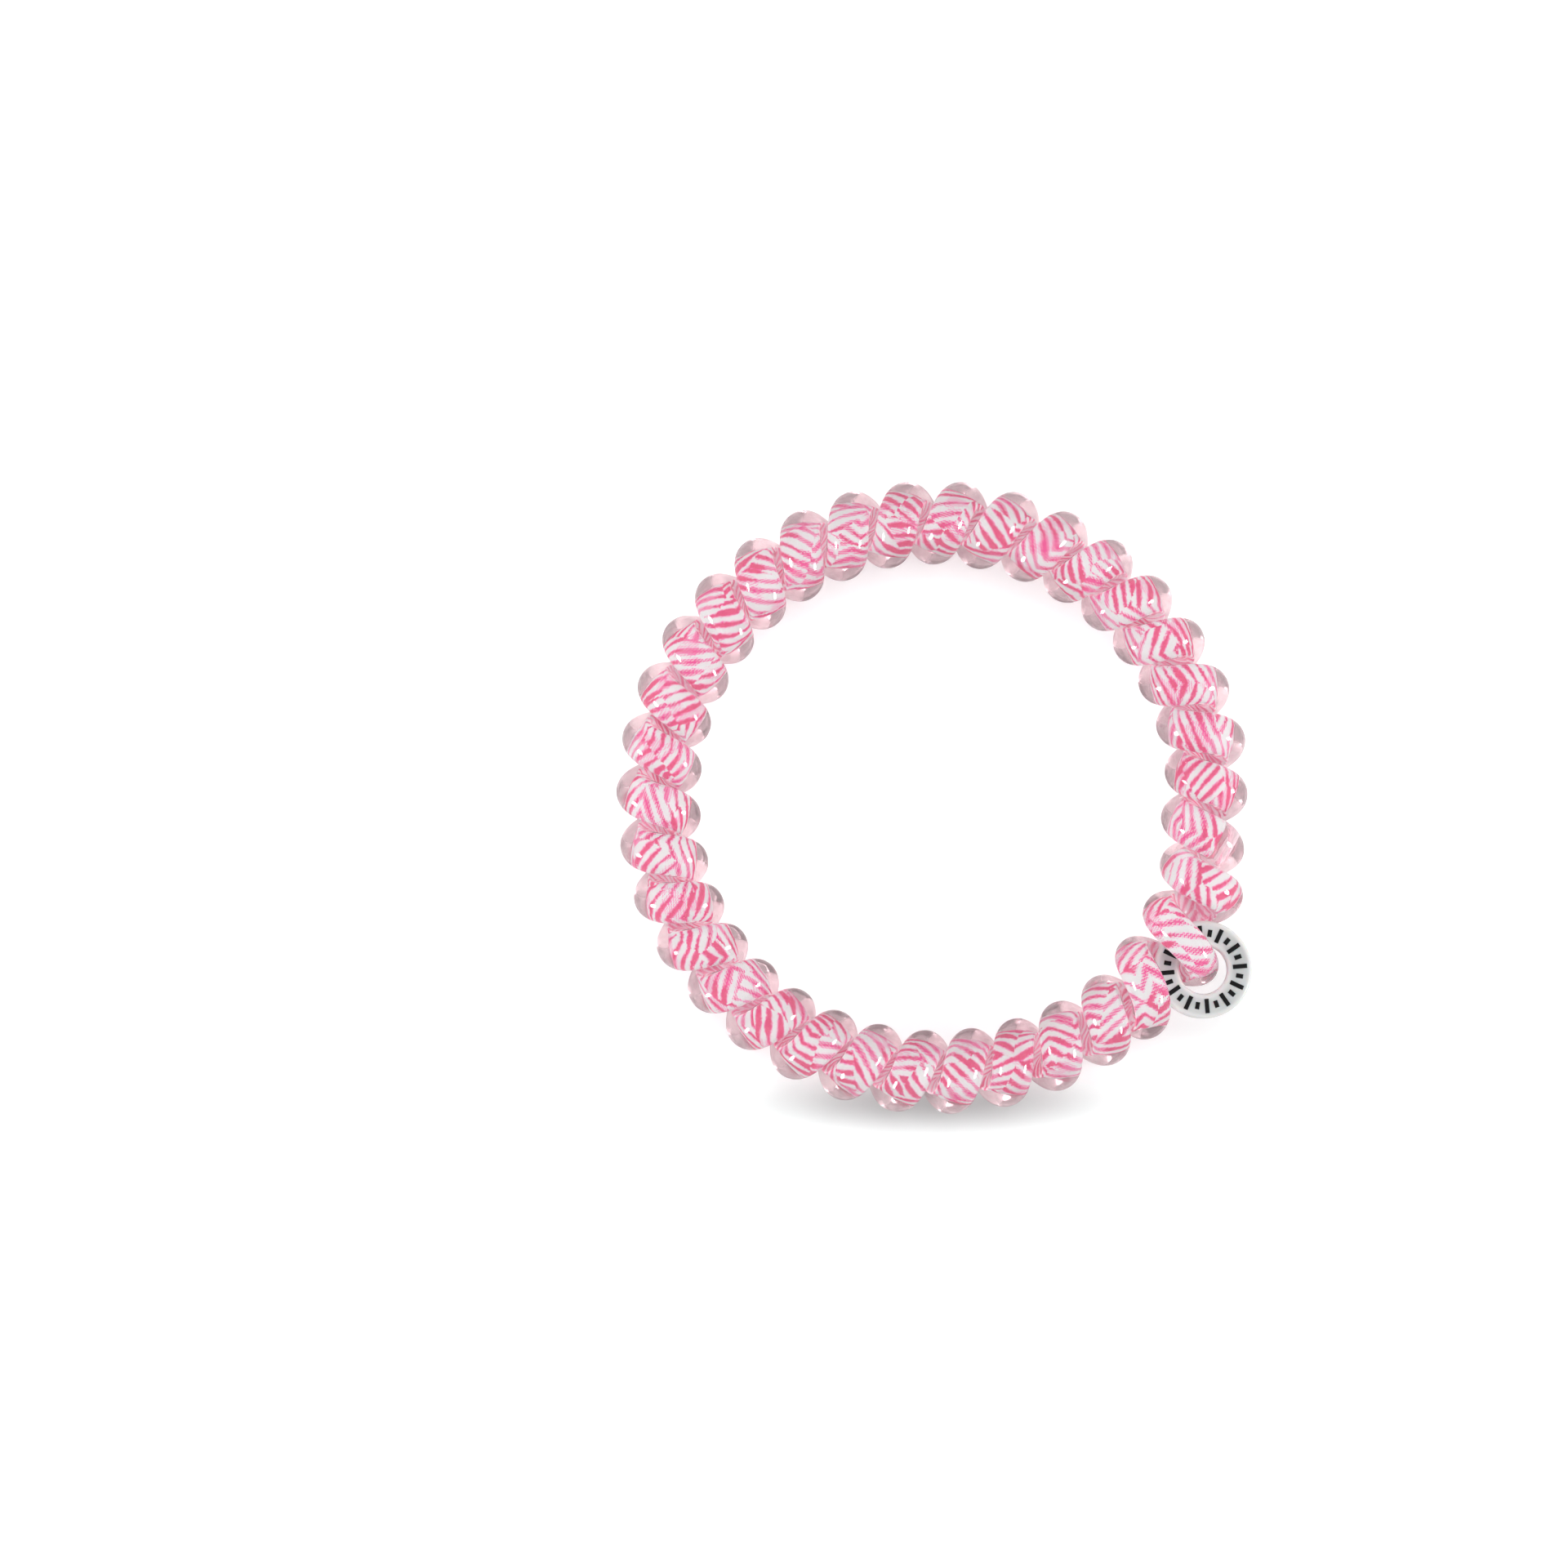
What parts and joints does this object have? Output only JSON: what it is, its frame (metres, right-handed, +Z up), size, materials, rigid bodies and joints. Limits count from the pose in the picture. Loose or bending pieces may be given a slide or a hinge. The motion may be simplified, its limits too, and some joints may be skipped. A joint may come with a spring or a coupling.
{
  "type": "spiral hair tie",
  "caption": "Soft clear cord wound in a coil and joined into a loop, with a printed ribbon inside it and a flat ring tag on one turn, for holding a ponytail.",
  "frame": {"origin": "middle of the loop, in the plane of the surface that it lies on", "axes": "+Z up through the loop, away from the surface; the tag lies towards +X and -Y"},
  "size_m": [0.055, 0.0546, 0.0086],
  "materials": {
    "clear_cord": "clear, glossy soft plastic with a faint pink tint",
    "printed_ribbon": "thin white woven ribbon with a pink zebra print",
    "clear_joint": "melted clear soft plastic, slightly cloudy",
    "frosted_tag": "frosted, slightly translucent, with a soft gloss on the rim",
    "black_marks": "raised black bars, satin"
  },
  "bodies": {
    "root": {"coil_cord": "clear_cord", "printed_ribbon": "printed_ribbon", "welded_joint": "clear_joint", "tag_ring": "frosted_tag", "tag_marks": "black_marks"}
  },
  "joints": []
}
